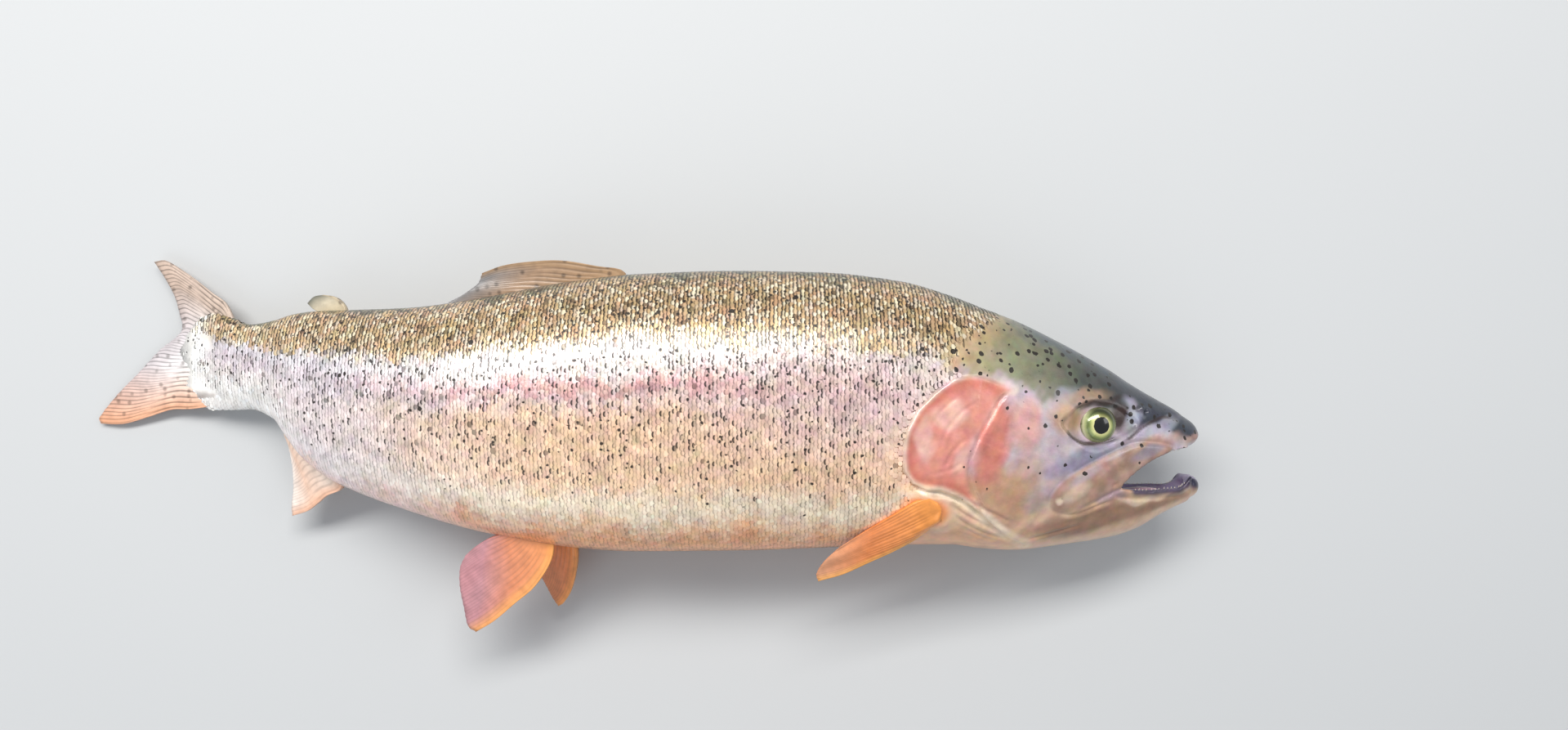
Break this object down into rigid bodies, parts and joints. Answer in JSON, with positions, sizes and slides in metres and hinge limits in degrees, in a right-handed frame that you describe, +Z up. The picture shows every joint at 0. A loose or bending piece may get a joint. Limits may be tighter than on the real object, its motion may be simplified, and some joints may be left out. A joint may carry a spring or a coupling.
{
  "type": "rainbow trout",
  "caption": "Life-size still model of a rainbow trout lying on its left flank, mouth open, fins spread, in spotted spawning colours.",
  "frame": {"origin": "on the floor, under the middle of the fish's box", "axes": "+X toward the snout, +Y toward the back, +Z up, out of the right flank"},
  "size_m": [0.6048, 0.2014, 0.091],
  "materials": {
    "head_skin": "wet skin, smooth",
    "jaw_skin": "wet skin, smooth",
    "mouth_lining": "wet lining, smooth",
    "eye": "clear wet cornea over the iris",
    "gill_cover_skin": "wet skin over bone, with a silvery sheen",
    "flank_skin": "wet scaled skin, silvery sheen",
    "dorsal_fin_skin": "thin wet skin over rays",
    "tail_fin_skin": "thin wet skin over rays",
    "paired_fin_skin": "thin wet skin over rays"
  },
  "bodies": {
    "root": {"head": "head_skin", "lower_jaw": "jaw_skin", "maxilla_right": "jaw_skin", "maxilla_left": "jaw_skin", "tongue": "mouth_lining", "eye_right": "eye", "eye_left": "eye", "gill_cover_right": "gill_cover_skin", "gill_cover_left": "gill_cover_skin", "trunk": "flank_skin", "tail_stalk": "flank_skin", "dorsal_fin": "dorsal_fin_skin", "adipose_fin": "dorsal_fin_skin", "caudal_fin": "tail_fin_skin", "anal_fin": "paired_fin_skin", "pelvic_fin_right": "paired_fin_skin", "pelvic_fin_left": "paired_fin_skin", "pectoral_fin_right": "paired_fin_skin", "pectoral_fin_left": "paired_fin_skin"}
  },
  "joints": []
}
